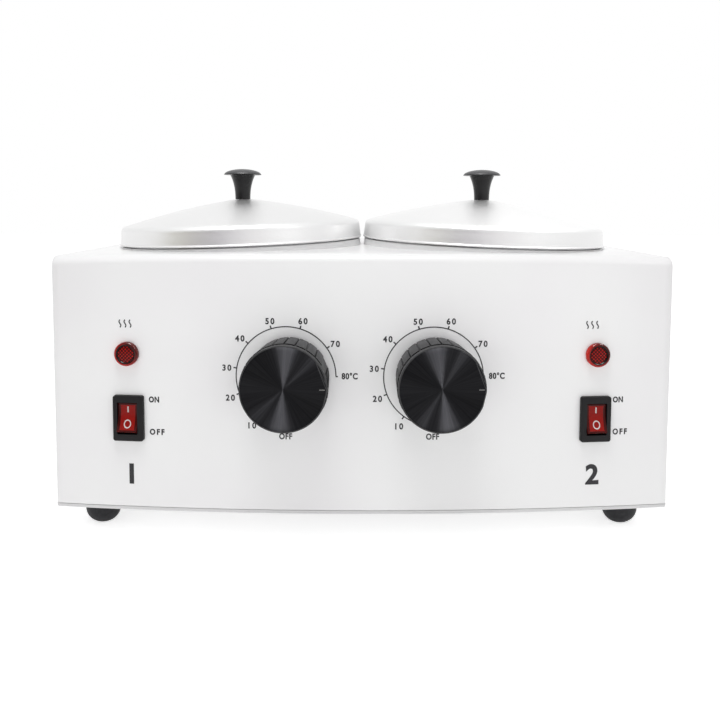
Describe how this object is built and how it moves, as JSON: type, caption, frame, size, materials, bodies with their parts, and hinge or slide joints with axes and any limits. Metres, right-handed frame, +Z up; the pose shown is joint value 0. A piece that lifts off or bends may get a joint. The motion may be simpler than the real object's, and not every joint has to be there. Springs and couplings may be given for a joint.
{
  "type": "double-pot wax warmer",
  "caption": "Table-top wax warmer: bowed sheet-metal housing with heated wells, lift-out pots under knobbed lids, temperature dials, pilot lamps and rocker switches.",
  "frame": {"origin": "on the table, under the middle of the overall box", "axes": "+X to the right seen from the front, +Y to the rear, +Z up"},
  "size_m": [0.2958, 0.196, 0.1767],
  "materials": {
    "white_enamel": "gloss powder coat",
    "lid_aluminium": "satin spun",
    "pot_aluminium": "drawn",
    "steel": "zinc plated",
    "band_steel": "heat tinted",
    "glass_wool": "felted",
    "black_plastic": "moulded",
    "dial_black": "black anodised, spun",
    "black_rubber": "moulded",
    "red_rocker": "translucent moulded",
    "red_lens": "translucent moulded",
    "ivory_plastic": "moulded",
    "brass": "stamped",
    "thermostat_case": "moulded"
  },
  "bodies": {
    "housing": {"housing_shell": "white_enamel", "rear_panel": "white_enamel", "base_plate": "white_enamel", "case_screws": "steel", "foot_front_left": "black_rubber", "foot_front_right": "black_rubber", "foot_rear_left": "black_rubber", "foot_rear_right": "black_rubber", "foot_studs": "steel", "foot_nuts": "steel", "cord_gland": "black_plastic", "gland_locknut": "black_plastic", "terminal_block": "ivory_plastic", "well_left": "pot_aluminium", "well_right": "pot_aluminium", "heater_band_left": "band_steel", "heater_band_right": "band_steel", "insulation_left": "glass_wool", "insulation_right": "glass_wool", "thermostat_left": "thermostat_case", "thermostat_right": "thermostat_case", "bushing_nut_left": "steel", "bushing_nut_right": "steel", "switch_frame_left": "black_plastic", "switch_frame_right": "black_plastic", "switch_blades_left": "brass", "switch_blades_right": "brass", "lamp_lens_left": "red_lens", "lamp_lens_right": "red_lens", "lamp_body_left": "black_plastic", "lamp_body_right": "black_plastic", "lamp_clips": "steel"},
    "dial_left": {"dial_knob_left": "black_plastic", "dial_face_left": "dial_black", "dial_shaft_left": "steel"},
    "switch_rocker_left": {"rocker_left": "red_rocker"},
    "wax_pot_left": {"pot_left": "pot_aluminium"},
    "pot_lid_left": {"lid_left": "lid_aluminium", "lid_knob_left": "black_plastic", "lid_screw_left": "steel"},
    "dial_right": {"dial_knob_right": "black_plastic", "dial_face_right": "dial_black", "dial_shaft_right": "steel"},
    "switch_rocker_right": {"rocker_right": "red_rocker"},
    "wax_pot_right": {"pot_right": "pot_aluminium"},
    "pot_lid_right": {"lid_right": "lid_aluminium", "lid_knob_right": "black_plastic", "lid_screw_right": "steel"}
  },
  "joints": [
    {"name": "dial_left_turn", "type": "hinge", "parent": "housing", "child": "dial_left", "pos_m": [-0.0334, -0.07227, 0.0786], "axis": [-0.0273, -0.9996, 0], "range_deg": [0, 267]},
    {"name": "rocker_left_press", "type": "hinge", "parent": "housing", "child": "switch_rocker_left", "pos_m": [-0.10895, -0.06728, 0.0577], "axis": [0.9961, -0.0886, 0], "range_deg": [0, 20]},
    {"name": "pot_left_lift", "type": "slide", "parent": "housing", "child": "wax_pot_left", "axis": [-0.0349, 0, 0.9994], "range_m": [0, 0.08]},
    {"name": "lid_left_lift", "type": "slide", "parent": "wax_pot_left", "child": "pot_lid_left", "axis": [-0.0349, 0, 0.9994], "range_m": [0, 0.06]},
    {"name": "dial_right_turn", "type": "hinge", "parent": "housing", "child": "dial_right", "pos_m": [0.0334, -0.07227, 0.0786], "axis": [0.0273, -0.9996, 0], "range_deg": [0, 267]},
    {"name": "rocker_right_press", "type": "hinge", "parent": "housing", "child": "switch_rocker_right", "pos_m": [0.10895, -0.06728, 0.0577], "axis": [0.9961, 0.0886, 0], "range_deg": [0, 20]},
    {"name": "pot_right_lift", "type": "slide", "parent": "housing", "child": "wax_pot_right", "axis": [0.0349, 0, 0.9994], "range_m": [0, 0.08]},
    {"name": "lid_right_lift", "type": "slide", "parent": "wax_pot_right", "child": "pot_lid_right", "axis": [0.0349, 0, 0.9994], "range_m": [0, 0.06]}
  ]
}
